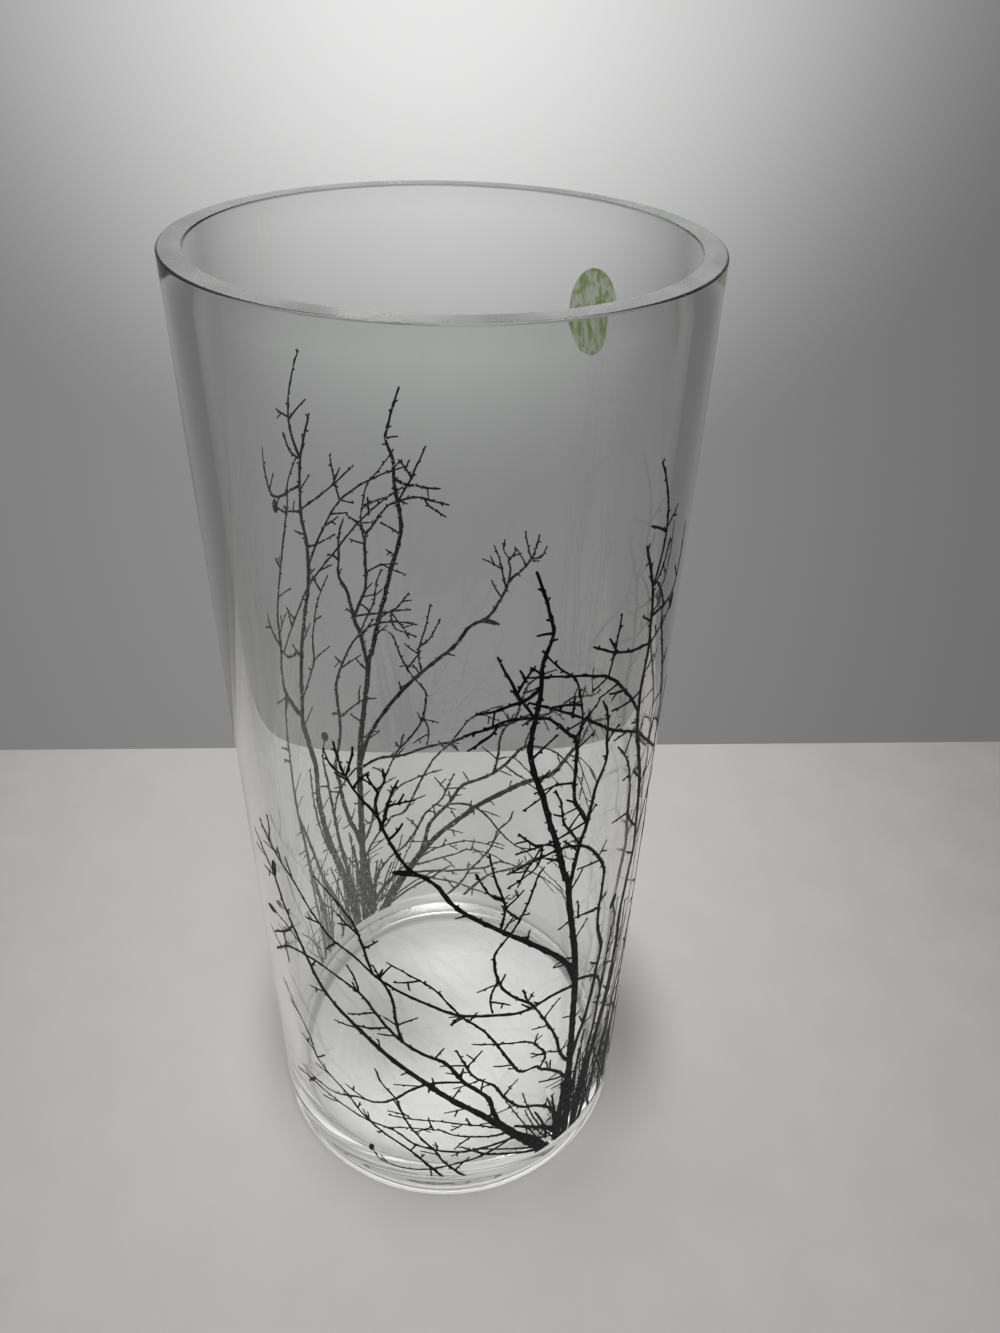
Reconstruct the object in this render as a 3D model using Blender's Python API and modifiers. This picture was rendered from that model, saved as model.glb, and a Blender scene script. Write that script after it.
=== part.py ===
"""A clear cylinder vase with bare branches printed in black on the outside of its wall.

The vase stands on the origin, +Z is up, and sizes are in metres. A place on the wall is given as a
turn in degrees, from the -Y side towards +X, and a height in millimetres. The print is drawn flat, in
millimetres, fused, and then wrapped round the wall. It comes twice, on opposite sides.
"""

import math
import random

import bmesh
import bpy
from mathutils import Matrix, Vector

MM = 0.001

# Driving dimensions of the glass
OUTER_RADIUS = 63.5 * MM
HEIGHT = 304.8 * MM
WALL = 5.8 * MM
FLOOR_THICKNESS = 15.0 * MM
HEEL_RADIUS = 3.0 * MM
INNER_CORNER_RADIUS = 6.0 * MM
RIM_BEVEL = 0.6 * MM
SIDES = 48
CORNER_STEPS = 4
SIDE_WIDTH = OUTER_RADIUS / MM * math.tau / SIDES

# Driving dimensions of the print and the label, which stand on the wall
FILM_GAP = 0.3 * MM
FILM_THICKNESS = 0.6 * MM
FILM_LOWEST = 14.5
LABEL_THICKNESS = 0.4 * MM
LABEL_WIDTH = 17.5
LABEL_LENGTH = 23.5
LABEL_SIDES = 24
LABEL_TURN = 137.0
LABEL_HEIGHT = 275.0
COPY_TURN = 176.0
COPY_RISE = 5.8
COPY_SPREAD = 1.06
COPY_STRETCH = 0.958

# How a stem thins from root to tip, and the rule for the twigs that stand off it
TAPER = 0.9
TWIG_SEED = 21
TWIG_FIRST = (8.0, 18.0)
TWIG_SPACING = (20.0, 38.0)
TWIG_LENGTH = (3.5, 9.0)
TWIG_LEAN = (35.0, 65.0)
TWIG_WIDTH = 0.9
TWIG_LOWEST = 45.0
TWIG_END_MARGIN = 5.0

# Each stem: width at the root and at the tip in millimetres, then its route as (turn, height)
STEMS = {
    # The clump that all stems rise from
    "clump_left": (3.4, 1.4, ((36.6, 11), (36.4, 32), (37.8, 56))),
    "clump_right": (3.0, 1.2, ((43, 11), (43.6, 30), (45.4, 46), (48, 62))),
    "clump_spur": (1.8, 0.8, ((40, 24), (41.4, 46), (42.4, 62))),
    "clump_left_spur": (1.8, 0.7, ((36, 14), (34.4, 32), (32.5, 46))),
    # The tallest stem left of the middle, with its forks
    "trunk": (3.4, 0.7, (
        (39.8, 14), (38.5, 60), (37.9, 80), (37.1, 102), (35.1, 121), (32.3, 139), (31, 150),
        (28.8, 157.5), (26.5, 168), (23.8, 178), (21.4, 188), (19.3, 195), (17.9, 203), (18.5, 211),
        (19.6, 220), (19.5, 228), (21.5, 236), (20.2, 242), (19, 247), (17.1, 252.5))),
    "trunk_fork": (1.6, 0.6, (
        (31.3, 148), (33.4, 164), (35.1, 170.5), (36.8, 182.5), (39.4, 190), (38.7, 198),
        (38.3, 205), (36.2, 211))),
    "left_reach": (1.3, 0.6, (
        (35.2, 170), (33.4, 175), (30.8, 180.6), (30, 187), (29.6, 200.6), (27.2, 205),
        (23.8, 209.5), (20.5, 212.5), (12.6, 213.8), (8, 212), (3.3, 210.4))),
    "left_reach_twig": (0.8, 0.5, ((10.6, 213.2), (9.4, 210.5), (6.9, 208), (4.1, 205.9))),
    "level_left": (1.1, 0.6, ((19.6, 221.5), (16.5, 219), (12.6, 218), (9.7, 217), (5.8, 216.6))),
    "level_left_twig": (0.6, 0.5, ((9.7, 217.3), (9.3, 213))),
    "rise_left": (0.9, 0.6, ((18.6, 212.5), (16.9, 216.2), (14.2, 221.2), (12.5, 225.6), (9.9, 232))),
    "short_rung": (0.8, 0.5, ((30.1, 188), (25, 189.4), (19.5, 189))),
    "short_rung_twig": (0.6, 0.5, ((24.2, 189.4), (20.5, 186.2), (17, 184))),
    "inner_wisp": (0.8, 0.5, ((33.2, 164), (30.5, 170), (27.9, 175), (26.6, 182.5), (24.9, 187.8))),
    "lower_rung": (0.9, 0.5, ((34.6, 171.6), (31.7, 171), (27.2, 170), (22.7, 169.4), (15.9, 169))),
    "lower_rung_twig": (0.7, 0.5, ((22.5, 169.6), (21.5, 162.5), (17.5, 159), (14.2, 156.6))),
    "droop": (0.6, 0.5, (
        (29.9, 200), (30.6, 208.7), (29.4, 215.6), (27.8, 221), (23.8, 225.6), (20.3, 230.5))),
    # The tall stem on the right, with the branches that cross towards the trunk
    "mast": (3.4, 0.8, (
        (43.4, 14), (47.6, 45), (51.8, 65), (55.2, 84), (56.8, 102), (56.2, 115), (58, 127.5),
        (60.2, 140), (59.5, 150), (58.1, 162.5), (56.5, 172.5), (53.7, 183), (51.4, 191.5),
        (50.3, 201), (50.3, 209), (51.2, 217), (50.8, 226), (50, 233), (49.1, 238), (47.4, 243),
        (44.9, 250))),
    "mast_top": (1.0, 0.5, (
        (49.3, 237), (51.4, 243.7), (52.3, 250), (51.9, 255), (50.8, 260), (48.8, 265.6),
        (46.6, 269.8))),
    "mast_top_twig": (0.8, 0.6, ((50, 237.2), (53, 241), (54.7, 247.5))),
    "mast_level": (1.0, 0.5, (
        (50.6, 228.4), (55, 228.2), (59.9, 228.6), (63.3, 232.5), (64.4, 240), (64.4, 247))),
    "leaf_stalk": (0.6, 0.5, ((57, 221.8), (60, 224.6), (61.6, 225.5))),
    "arch": (1.0, 0.5, (
        (50.5, 199), (46.3, 206), (40.7, 213.7), (36.7, 218), (31.7, 220.6), (27.2, 222.5),
        (20.4, 224.4), (15.3, 225.5))),
    "arch_twig": (0.7, 0.5, ((36.9, 217.8), (38.2, 225), (39.1, 234.5))),
    "arch_spur": (0.6, 0.5, ((37, 218), (32.5, 215.6))),
    "crossing": (1.0, 0.6, (
        (66, 175), (62.2, 179.4), (56.5, 185.6), (50.9, 192), (40.7, 199.4), (31.7, 207.5),
        (23.8, 213.7), (17, 218))),
    "mast_rung_high": (0.9, 0.5, ((50.9, 220.2), (44, 221.9), (37.3, 225), (31.7, 228.8))),
    "mast_rung_low": (0.8, 0.5, ((50.2, 206), (45.2, 205.4), (39.5, 206.2))),
    "far_right": (1.6, 0.6, (
        (60, 143), (64.5, 152), (68, 161), (68.4, 169), (67.4, 177), (66.8, 191), (63.4, 203),
        (59.6, 214), (56.5, 223.7), (55.3, 231), (51, 238))),
    "far_right_twig": (0.8, 0.5, ((67.6, 179), (71.5, 188), (73, 195))),
    "far_right_rung": (0.7, 0.6, ((67.4, 177), (63.5, 171.5), (58, 169.5))),
    "outer_right": (2.2, 0.9, (
        (60.2, 11), (60.8, 30), (62, 46), (64.4, 60), (66.6, 74), (68.3, 91), (70.2, 109),
        (70.4, 128), (69.8, 146), (67.8, 160))),
    "outer_low": (2.4, 1.0, (
        (45.4, 12), (48.8, 23), (54.2, 42), (59.4, 59), (63.8, 80), (69, 101))),
    "outer_foot": (1.6, 0.8, ((63.4, 11), (63.8, 25), (65.4, 49), (66.4, 62), (67.6, 78))),
    "outer_wisp": (1.2, 0.8, ((57.6, 11), (58, 25), (56.6, 40), (58.6, 54))),
    "inner_right": (1.1, 0.6, ((51, 61), (55.5, 75), (58.4, 91), (59.6, 105), (59.4, 118))),
    "right_curl": (0.9, 0.5, (
        (59.6, 150), (54.8, 156), (52, 162.5), (51.8, 168.7), (50.9, 175), (48.9, 182),
        (46.4, 187.5), (43.5, 192))),
    "bud_stem": (2.2, 0.6, (
        (44, 26), (46, 50), (48.4, 68), (49.8, 84), (51.2, 102.5), (52.4, 117.5), (51, 125))),
    # The bent stem between trunk and mast
    "bent_stem": (2.0, 0.6, (
        (39, 60), (40.8, 70), (43, 77.5), (45.3, 90), (46, 100), (47, 110), (44.4, 120),
        (43.6, 130), (44, 143.7), (43, 148.7), (39.6, 156), (35.1, 162), (28.3, 165.6),
        (19.9, 164.4), (13.9, 162))),
    "bent_stem_rung": (0.9, 0.5, ((43.7, 130.6), (39.5, 132), (34.5, 133.7), (29, 132.5))),
    "trunk_brace": (1.1, 0.8, ((37.3, 103), (40.2, 101.6), (45.6, 97), (49, 90), (50.4, 81))),
    # The long branch that climbs from the trunk to the upper left
    "climber": (2.0, 0.6, (
        (36.9, 103), (32.8, 115), (27.2, 123.7), (21.6, 130.6), (14.2, 138.7), (6.9, 146),
        (0.7, 153), (-3.2, 160.6), (-8.5, 165), (-11.9, 170.6), (-14.7, 178), (-16.1, 183),
        (-19.8, 188), (-23.2, 194), (-24.9, 200), (-25.4, 204))),
    "climber_left": (0.8, 0.5, ((-22.8, 193.6), (-26.6, 196), (-28.3, 200.6))),
    "climber_right": (0.7, 0.5, ((-23.1, 193.8), (-21.5, 200), (-20.9, 204))),
    "climber_comb": (0.8, 0.5, ((-16, 182.5), (-16.3, 188), (-15.8, 192), (-19.6, 195))),
    "climber_comb_tip": (0.6, 0.5, ((-15.9, 191.6), (-13.9, 195), (-14.2, 199))),
    "climber_wand": (0.8, 0.5, ((-15.2, 179), (-12.7, 190.6), (-10.8, 196))),
    "thread": (1.3, 0.6, (
        (38, 60), (34, 68.7), (32.3, 77.5), (29.5, 86), (25, 97.5), (21.6, 104.4), (19.9, 111))),
    "thread_left": (1.0, 0.5, (
        (22, 103.6), (15.9, 111), (12.6, 118.7), (11.4, 127.5), (12, 132), (16.5, 140),
        (19.5, 148.7), (21.6, 157.5), (23.5, 161))),
    "thread_down": (0.8, 0.5, ((12.7, 118.6), (10.8, 111), (11.4, 104))),
    "hook": (0.8, 0.5, ((12.7, 140), (13.7, 150), (11.4, 158.7), (10.3, 165), (9.4, 170.6))),
    "hook_twig": (0.6, 0.5, ((13.5, 151.5), (9.7, 155.6), (6.3, 163.7))),
    # The branches that sweep to the left
    "high_sweep": (1.4, 0.6, (
        (37.4, 101), (29.5, 102.5), (19.9, 100.6), (12.6, 102.5), (2.4, 105), (-5.5, 110),
        (-17.6, 117.5), (-24.9, 125), (-31.7, 128.7), (-37.3, 135.6), (-42.9, 143.7),
        (-48.6, 148.7), (-53, 152.5), (-56.5, 157.5))),
    "high_sweep_tip": (0.7, 0.5, ((-52.6, 152.2), (-51.4, 158), (-51.4, 163))),
    "high_sweep_rise": (1.0, 0.5, (
        (-20.2, 120.4), (-22.6, 132.5), (-24.3, 139), (-26.6, 143), (-30, 147), (-35, 152))),
    "middle_sweep": (1.8, 0.6, (
        (18.4, 37), (15.4, 42.5), (13, 50), (11.4, 58.7), (8, 65), (4.4, 70), (-1.2, 81),
        (-6.8, 85), (-12.5, 90), (-17, 96), (-20.4, 102.5), (-24.3, 108.7), (-30.5, 112),
        (-37.3, 113.7), (-45.2, 112), (-50.8, 108.7), (-58.7, 98.7))),
    "middle_sweep_tie": (0.9, 0.8, ((-17.2, 95.6), (-22, 93.2), (-27, 91.8))),
    "middle_sweep_comb": (0.7, 0.5, ((-20.2, 101.8), (-24.5, 98.7), (-28.5, 96))),
    "middle_sweep_wand": (0.7, 0.5, ((-24.4, 108.6), (-25.5, 115), (-27.6, 119.5))),
    "middle_sweep_rise": (1.0, 0.8, (
        (-12.6, 90), (-14.2, 98.7), (-14.7, 107.5), (-16.4, 115), (-19, 119.4))),
    "low_sweep": (3.2, 0.7, (
        (33, 11), (25, 25), (19.9, 33.7), (14.8, 42.5), (6.9, 53.7), (-1, 63), (-6.6, 70),
        (-13.6, 77.5), (-20.4, 85), (-27.1, 92), (-33.9, 98.7), (-38.4, 105), (-40.7, 110),
        (-44, 117.5), (-49.7, 130), (-52, 137.5), (-56.5, 143.7), (-62, 148.7))),
    "low_sweep_root": (5.4, 2.4, ((33, 11), (25.5, 25), (19.4, 34.5), (14.2, 44))),
    "low_sweep_side": (2.6, 1.0, ((38.5, 14), (32.6, 26), (27.2, 32), (20, 38.5))),
    "low_sweep_drop": (0.9, 0.6, ((-46.2, 122.4), (-50.3, 116), (-58.2, 107.5))),
    "low_sweep_stalk": (0.7, 0.5, ((-43.8, 116.8), (-50, 119.8), (-56, 120))),
    "low_sweep_under": (1.1, 0.5, (
        (3.9, 70.6), (-2.3, 71), (-6.9, 69.2), (-11.3, 65), (-15.9, 58.7), (-21.5, 53.7),
        (-28.3, 52), (-36, 47), (-43, 45.6), (-52, 45))),
    "under_twig": (0.8, 0.5, ((-15.6, 59), (-19.8, 66), (-21.5, 72.5))),
    "veil": (1.2, 0.5, (
        (38.6, 50), (32.8, 60), (27.2, 66), (25.5, 68.7), (20.5, 69.4), (17, 77.5), (13.7, 86),
        (9.2, 96), (3.5, 103.7), (0, 110), (-3.2, 116), (-6.6, 120), (-15.9, 126.5))),
    "veil_twig": (0.9, 0.5, (
        (26.8, 66.2), (28.4, 72.5), (26, 78.7), (22.7, 83.7), (16, 87), (6.3, 90))),
    "shade": (1.5, 0.6, (
        (38, 20), (33, 37), (27.2, 45), (21, 49.4), (15.9, 58), (12.6, 66), (6.9, 73),
        (4.7, 78.7), (1.8, 87.5))),
    # The stems low on the left, near the base
    "base_riser": (1.2, 0.5, (
        (-1, 12), (-8, 23.7), (-13.6, 31), (-22.6, 38.7), (-28.3, 45), (-31.7, 50.6), (-37.3, 55),
        (-43, 60), (-45.7, 70), (-53, 81), (-57, 86))),
    "base_level": (1.3, 0.5, (
        (21, 32), (10, 30.5), (2.2, 30), (-5.7, 32), (-11.3, 34.4), (-17, 40), (-26, 40.8),
        (-36, 42.5), (-47, 42.5), (-56, 38))),
    "base_thread": (1.1, 0.6, (
        (7.5, 11), (2.2, 17.5), (-2.3, 25), (-4.6, 31), (-9, 38.7), (-13, 47.5), (-15.6, 59.5))),
    "base_brace": (1.4, 0.7, ((30, 15.5), (18.2, 22.5), (10.3, 27), (3.5, 33))),
    "base_runner": (1.1, 0.5, (
        (17.6, 31), (9.2, 25.5), (1.3, 22.5), (-8, 18.5), (-16, 17.3), (-22, 18.8), (-24.4, 23))),
    "base_high_arc": (0.8, 0.5, ((16.5, 39), (9, 44.4), (-2, 48.7), (-10, 48.8), (-18, 48.2))),
    "base_arc": (0.9, 0.5, (
        (16.5, 36), (11.4, 37), (1.3, 40.5), (-3.2, 43.7), (-12, 43.2), (-19, 40.6))),
}

# The few oval leaves and buds: turn, height, length, width and tilt from upright in degrees
LEAVES = (
    (-10.8, 164.0, 6.0, 2.0, 80),
    (-52.0, 141.8, 7.0, 2.6, 10),
    (-57.6, 118.9, 6.0, 2.6, 70),
    (50.6, 126.6, 5.6, 2.8, 24),
    (61.6, 226.5, 5.0, 2.6, 10),
    (-24.8, 24.4, 4.4, 2.0, 12),
)
LEAF_SIDES = 10
FLAT_ANGLE = 0.002


def clear_scene():
    for thing in list(bpy.data.objects):
        bpy.data.objects.remove(thing, do_unlink=True)


def make_collection(name):
    collection = bpy.data.collections.new(name)
    bpy.context.scene.collection.children.link(collection)
    return collection


def make_material(name, colour, roughness, metallic=0.0, transmission=0.0):
    material = bpy.data.materials.new(name)
    material.use_nodes = True
    shader = material.node_tree.nodes["Principled BSDF"]
    shader.inputs["Base Color"].default_value = (*colour, 1.0)
    shader.inputs["Roughness"].default_value = roughness
    shader.inputs["Metallic"].default_value = metallic
    shader.inputs["Transmission Weight"].default_value = transmission
    return material


def corner_arc(centre, radius, first, last):
    """Points of a rounded corner in the profile's (radius, height) plane, angles in degrees."""
    angles = [first + (last - first) * step / CORNER_STEPS for step in range(CORNER_STEPS + 1)]
    return [
        (centre[0] + radius * math.cos(math.radians(a)), centre[1] + radius * math.sin(math.radians(a)))
        for a in angles
    ]


def vase_profile():
    """The wall's half section, from the inner floor's middle over the rim and down the outside."""
    inner_radius = OUTER_RADIUS - WALL
    corner = (inner_radius - INNER_CORNER_RADIUS, FLOOR_THICKNESS + INNER_CORNER_RADIUS)
    heel = (OUTER_RADIUS - HEEL_RADIUS, HEEL_RADIUS)
    profile = [(0.0, FLOOR_THICKNESS)]
    profile += corner_arc(corner, INNER_CORNER_RADIUS, -90, 0)
    profile += [(inner_radius, HEIGHT - RIM_BEVEL), (inner_radius + RIM_BEVEL, HEIGHT)]
    profile += [(OUTER_RADIUS - RIM_BEVEL, HEIGHT), (OUTER_RADIUS, HEIGHT - RIM_BEVEL)]
    profile += corner_arc(heel, HEEL_RADIUS, 0, -90)
    profile += [(0.0, 0.0)]
    return profile


def make_vase(collection, material):
    mesh = bpy.data.meshes.new("glass_vase")
    section = bmesh.new()
    points = [section.verts.new((radius, 0.0, height)) for radius, height in vase_profile()]
    for start, end in zip(points, points[1:]):
        section.edges.new((start, end))
    section.to_mesh(mesh)
    section.free()
    vase = bpy.data.objects.new("glass_vase", mesh)
    collection.objects.link(vase)
    mesh.materials.append(material)
    screw = vase.modifiers.new("turn", "SCREW")
    screw.axis = "Z"
    screw.steps = SIDES
    screw.render_steps = SIDES
    screw.use_merge_vertices = True
    screw.merge_threshold = 0.00001
    screw.use_smooth_shade = True
    return vase


def sheet_point(turn, height):
    """A place on the wall laid out flat: distance round the wall and height, in millimetres."""
    return Vector((math.radians(turn) * OUTER_RADIUS / MM, height))


def stem_length(route):
    return sum((end - start).length for start, end in zip(route, route[1:]))


def width_at(share, root_width, tip_width):
    return tip_width + (root_width - tip_width) * (1.0 - share) ** TAPER


def ribbon_outline(root_width, tip_width, route):
    """The outline of a flat stem that follows its route and thins towards its tip."""
    whole = stem_length(route)
    travelled = 0.0
    left = []
    right = []
    for place, point in enumerate(route):
        before = route[max(place - 1, 0)]
        after = route[min(place + 1, len(route) - 1)]
        along = (after - before).normalized()
        if place:
            travelled += (point - before).length
        half = width_at(travelled / whole, root_width, tip_width) / 2
        across = Vector((-along.y, along.x)) * half
        left.append(point + across)
        right.append(point - across)
    return left + right[::-1]


def oval_outline(centre, length, width, tilt, sides):
    tilt = math.radians(tilt)
    outline = []
    for step in range(sides):
        angle = math.tau * step / sides
        across = math.cos(angle) * width / 2
        along = math.sin(angle) * length / 2
        right = across * math.cos(tilt) + along * math.sin(tilt)
        up = along * math.cos(tilt) - across * math.sin(tilt)
        outline.append(centre + Vector((right, up)))
    return outline


def point_along(route, distance):
    """The place at a distance along a route, and the direction of the route there."""
    for start, end in zip(route, route[1:]):
        step = (end - start).length
        if distance <= step:
            return start.lerp(end, distance / step), (end - start).normalized()
        distance -= step
    return route[-1], (route[-1] - route[-2]).normalized()


def turned(direction, degrees):
    angle = math.radians(degrees)
    cosine = math.cos(angle)
    sine = math.sin(angle)
    return Vector((direction.x * cosine - direction.y * sine, direction.x * sine + direction.y * cosine))


def grow_twigs(stems):
    """Short pointed twigs at drawn distances along each stem, on one side and then the other."""
    draw = random.Random(TWIG_SEED)
    twigs = []
    for _, _, route in stems:
        whole = stem_length(route)
        travelled = draw.uniform(*TWIG_FIRST)
        side = draw.choice((-1, 1))
        while travelled < whole - TWIG_END_MARGIN:
            root, along = point_along(route, travelled)
            lean = side * draw.uniform(*TWIG_LEAN)
            reach = draw.uniform(*TWIG_LENGTH)
            if root.y > TWIG_LOWEST:
                away = turned(along, lean)
                across = Vector((-away.y, away.x)) * TWIG_WIDTH / 2
                twigs.append([root - across, root + away * reach, root + across])
            side = -side
            travelled += draw.uniform(*TWIG_SPACING)
    return twigs


def print_outlines():
    stems = [(root, tip, [sheet_point(*place) for place in route]) for root, tip, route in STEMS.values()]
    outlines = [ribbon_outline(*stem) for stem in stems] + grow_twigs(stems)
    for turn, height, length, width, tilt in LEAVES:
        outlines.append(oval_outline(sheet_point(turn, height), length, width, tilt, LEAF_SIDES))
    return outlines


def flat_solid(name, outline, thickness, collection):
    """A flat plate of the given outline: x round the wall, y up, z out from the wall, in millimetres."""
    curve = bpy.data.curves.new(name, "CURVE")
    curve.dimensions = "2D"
    curve.fill_mode = "BOTH"
    curve.extrude = thickness / MM / 2
    spline = curve.splines.new("POLY")
    spline.points.add(len(outline) - 1)
    for point, place in zip(spline.points, outline):
        point.co = (place.x, place.y, 0.0, 1.0)
    spline.use_cyclic_u = True
    drawn = bpy.data.objects.new(name, curve)
    collection.objects.link(drawn)
    bpy.context.view_layer.update()
    evaluated = drawn.evaluated_get(bpy.context.evaluated_depsgraph_get())
    mesh = bpy.data.meshes.new_from_object(evaluated)
    bpy.data.objects.remove(drawn, do_unlink=True)
    plate = bmesh.new()
    plate.from_mesh(mesh)
    bmesh.ops.remove_doubles(plate, verts=plate.verts, dist=0.001)
    bmesh.ops.recalc_face_normals(plate, faces=plate.faces)
    plate.to_mesh(mesh)
    plate.free()
    solid = bpy.data.objects.new(name, mesh)
    collection.objects.link(solid)
    return solid


def fuse(name, solids, collection, spare):
    """One Boolean union of all the solids, applied, with the pieces it joined removed."""
    first = solids[0]
    spare.objects.unlink(first)
    collection.objects.link(first)
    first.name = name
    union = first.modifiers.new("join", "BOOLEAN")
    union.operation = "UNION"
    union.operand_type = "COLLECTION"
    union.collection = spare
    union.solver = "EXACT"
    bpy.context.view_layer.update()
    evaluated = first.evaluated_get(bpy.context.evaluated_depsgraph_get())
    mesh = bpy.data.meshes.new_from_object(evaluated)
    first.modifiers.clear()
    first.data = mesh
    for solid in solids[1:]:
        bpy.data.objects.remove(solid, do_unlink=True)
    return first


def trim_below(solid, height):
    """Cuts a flat solid off level at a height, and closes the cut."""
    sheet = bmesh.new()
    sheet.from_mesh(solid.data)
    everything = sheet.verts[:] + sheet.edges[:] + sheet.faces[:]
    bmesh.ops.bisect_plane(
        sheet, geom=everything, plane_co=(0, height, 0), plane_no=(0, -1, 0), clear_outer=True, dist=0.0001
    )
    rims = [edge for edge in sheet.edges if edge.is_boundary]
    bmesh.ops.holes_fill(sheet, edges=rims, sides=0)
    bmesh.ops.recalc_face_normals(sheet, faces=sheet.faces)
    sheet.to_mesh(solid.data)
    sheet.free()


def wrap_point(flat, base_radius):
    """Lays a point of the flat sheet against the flat side of the wall that it belongs to."""
    facet, share = divmod(flat.x / SIDE_WIDTH, 1.0)
    radius = base_radius + flat.z * MM
    corners = []
    for step in (facet, facet + 1):
        angle = step * math.tau / SIDES
        corners.append(Vector((radius * math.sin(angle), -radius * math.cos(angle), flat.y * MM)))
    return corners[0].lerp(corners[1], share)


def wrap_round(solid, thickness):
    """Bends a flat solid round the wall, along the corners between the wall's flat sides."""
    sheet = bmesh.new()
    sheet.from_mesh(solid.data)
    bmesh.ops.dissolve_limit(sheet, angle_limit=FLAT_ANGLE, verts=sheet.verts, edges=sheet.edges)
    first = math.floor(min(vert.co.x for vert in sheet.verts) / SIDE_WIDTH)
    last = math.ceil(max(vert.co.x for vert in sheet.verts) / SIDE_WIDTH)
    for corner in range(first + 1, last):
        everything = sheet.verts[:] + sheet.edges[:] + sheet.faces[:]
        bmesh.ops.bisect_plane(
            sheet, geom=everything, plane_co=(corner * SIDE_WIDTH, 0, 0), plane_no=(1, 0, 0), dist=0.001
        )
    bmesh.ops.triangulate(sheet, faces=sheet.faces)
    base_radius = OUTER_RADIUS + FILM_GAP + thickness / 2
    for vert in sheet.verts:
        vert.co = wrap_point(vert.co, base_radius)
    sheet.to_mesh(solid.data)
    sheet.free()


def make_prints(collection, material):
    """The branch print on the near side, and the same print again on the far side."""
    spare = make_collection("print_pieces")
    solids = [
        flat_solid(f"stroke_{number:03d}", outline, FILM_THICKNESS, spare)
        for number, outline in enumerate(print_outlines())
    ]
    near = fuse("branch_print_front", solids, collection, spare)
    bpy.data.collections.remove(spare)
    trim_below(near, FILM_LOWEST)
    near.data.materials.append(material)
    far = bpy.data.objects.new("branch_print_back", near.data.copy())
    collection.objects.link(far)
    across, _ = sheet_point(COPY_TURN, 0)
    place = Matrix.Translation((across, COPY_RISE, 0))
    far.data.transform(place @ Matrix.Diagonal((COPY_SPREAD, COPY_STRETCH, 1, 1)))
    wrap_round(near, FILM_THICKNESS)
    wrap_round(far, FILM_THICKNESS)
    return near, far


def make_label(collection, material):
    outline = oval_outline(Vector((0, 0)), LABEL_LENGTH, LABEL_WIDTH, 0, LABEL_SIDES)
    centre = sheet_point(LABEL_TURN, LABEL_HEIGHT)
    label = flat_solid("label", [centre + point for point in outline], LABEL_THICKNESS, collection)
    wrap_round(label, LABEL_THICKNESS)
    label.data.materials.append(material)
    return label


def main():
    clear_scene()
    collection = make_collection("printed_glass_vase")
    glass = make_material("clear_glass", (0.93, 0.96, 0.95), 0.02, transmission=1.0)
    enamel = make_material("black_enamel", (0.012, 0.012, 0.013), 0.45)
    paper = make_material("label_paper", (0.62, 0.71, 0.45), 0.6)
    make_vase(collection, glass)
    make_prints(collection, enamel)
    make_label(collection, paper)


main()
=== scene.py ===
"""The looks of a clear glass cylinder vase with bare branches printed in black round its wall.

Sizes on the wall are in millimetres and the rest in metres. A place on the wall is given as a turn in
degrees, from the -Y side towards +X, and a height in millimetres. The print is drawn as flat outlines,
fused into one flat mesh, and laid round the wall as a thin film. It comes twice, on opposite sides.
"""

import math
import random

import bpy
from mathutils import Matrix, Vector, noise
from mathutils.geometry import convex_hull_2d, delaunay_2d_cdt


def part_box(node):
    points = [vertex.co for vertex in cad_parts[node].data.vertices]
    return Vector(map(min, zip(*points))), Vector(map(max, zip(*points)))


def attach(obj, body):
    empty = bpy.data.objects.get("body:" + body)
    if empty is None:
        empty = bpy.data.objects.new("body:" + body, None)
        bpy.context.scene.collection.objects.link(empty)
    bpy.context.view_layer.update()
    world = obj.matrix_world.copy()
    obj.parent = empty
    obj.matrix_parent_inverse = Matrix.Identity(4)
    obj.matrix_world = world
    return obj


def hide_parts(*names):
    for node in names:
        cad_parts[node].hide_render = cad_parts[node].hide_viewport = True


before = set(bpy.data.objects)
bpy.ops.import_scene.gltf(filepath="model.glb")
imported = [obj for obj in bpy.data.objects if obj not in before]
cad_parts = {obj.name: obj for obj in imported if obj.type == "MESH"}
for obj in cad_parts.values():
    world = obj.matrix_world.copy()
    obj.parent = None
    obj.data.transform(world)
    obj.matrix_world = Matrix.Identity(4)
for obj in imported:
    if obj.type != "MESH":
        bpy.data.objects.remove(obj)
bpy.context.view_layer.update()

MM = 0.001

# The glass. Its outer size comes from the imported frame
GLASS_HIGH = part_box("glass_vase")[1]
OUTER_RADIUS = GLASS_HIGH.x
HEIGHT = GLASS_HIGH.z
WALL = 5.8 * MM
FLOOR_THICKNESS = 15.0 * MM
FLOOR_DISH = 0.7 * MM
HEEL_RADIUS = 3.0 * MM
INNER_CORNER_RADIUS = 6.0 * MM
RIM_ROUND = 0.5 * MM
FOOT_WIDTH = 9.0 * MM
# The recess under the foot: its depth, and how many times as wide its slope is
FOOT_RECESS = 0.35 * MM
FOOT_SLOPE = 4
# The turned mesh: sides round it, rings up the wall, and steps in each rounded corner
GLASS_SIDES = 320
WALL_RINGS = 48
ARC_STEPS = 12

# The slight waves of the inner surfaces: how high they are, and how closely they follow each other round
# the wall, up the wall and on the floor. The layer only picks the noise that the floor's are read from
INNER_WAVE = 0.06 * MM
INNER_WAVE_TURN = 1.3
INNER_WAVE_RISE = 14
FLOOR_WAVE = 0.12 * MM
FLOOR_WAVE_SCALE = 45
FLOOR_WAVE_LAYER = 3.0

# The print and the label are bonded films, sunk a little into the wall's surface. The print ends level
# at its lowest height
FILM_BELOW = 0.03 * MM
FILM_ABOVE = 0.05 * MM
FILM_LOWEST = 14.5

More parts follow.
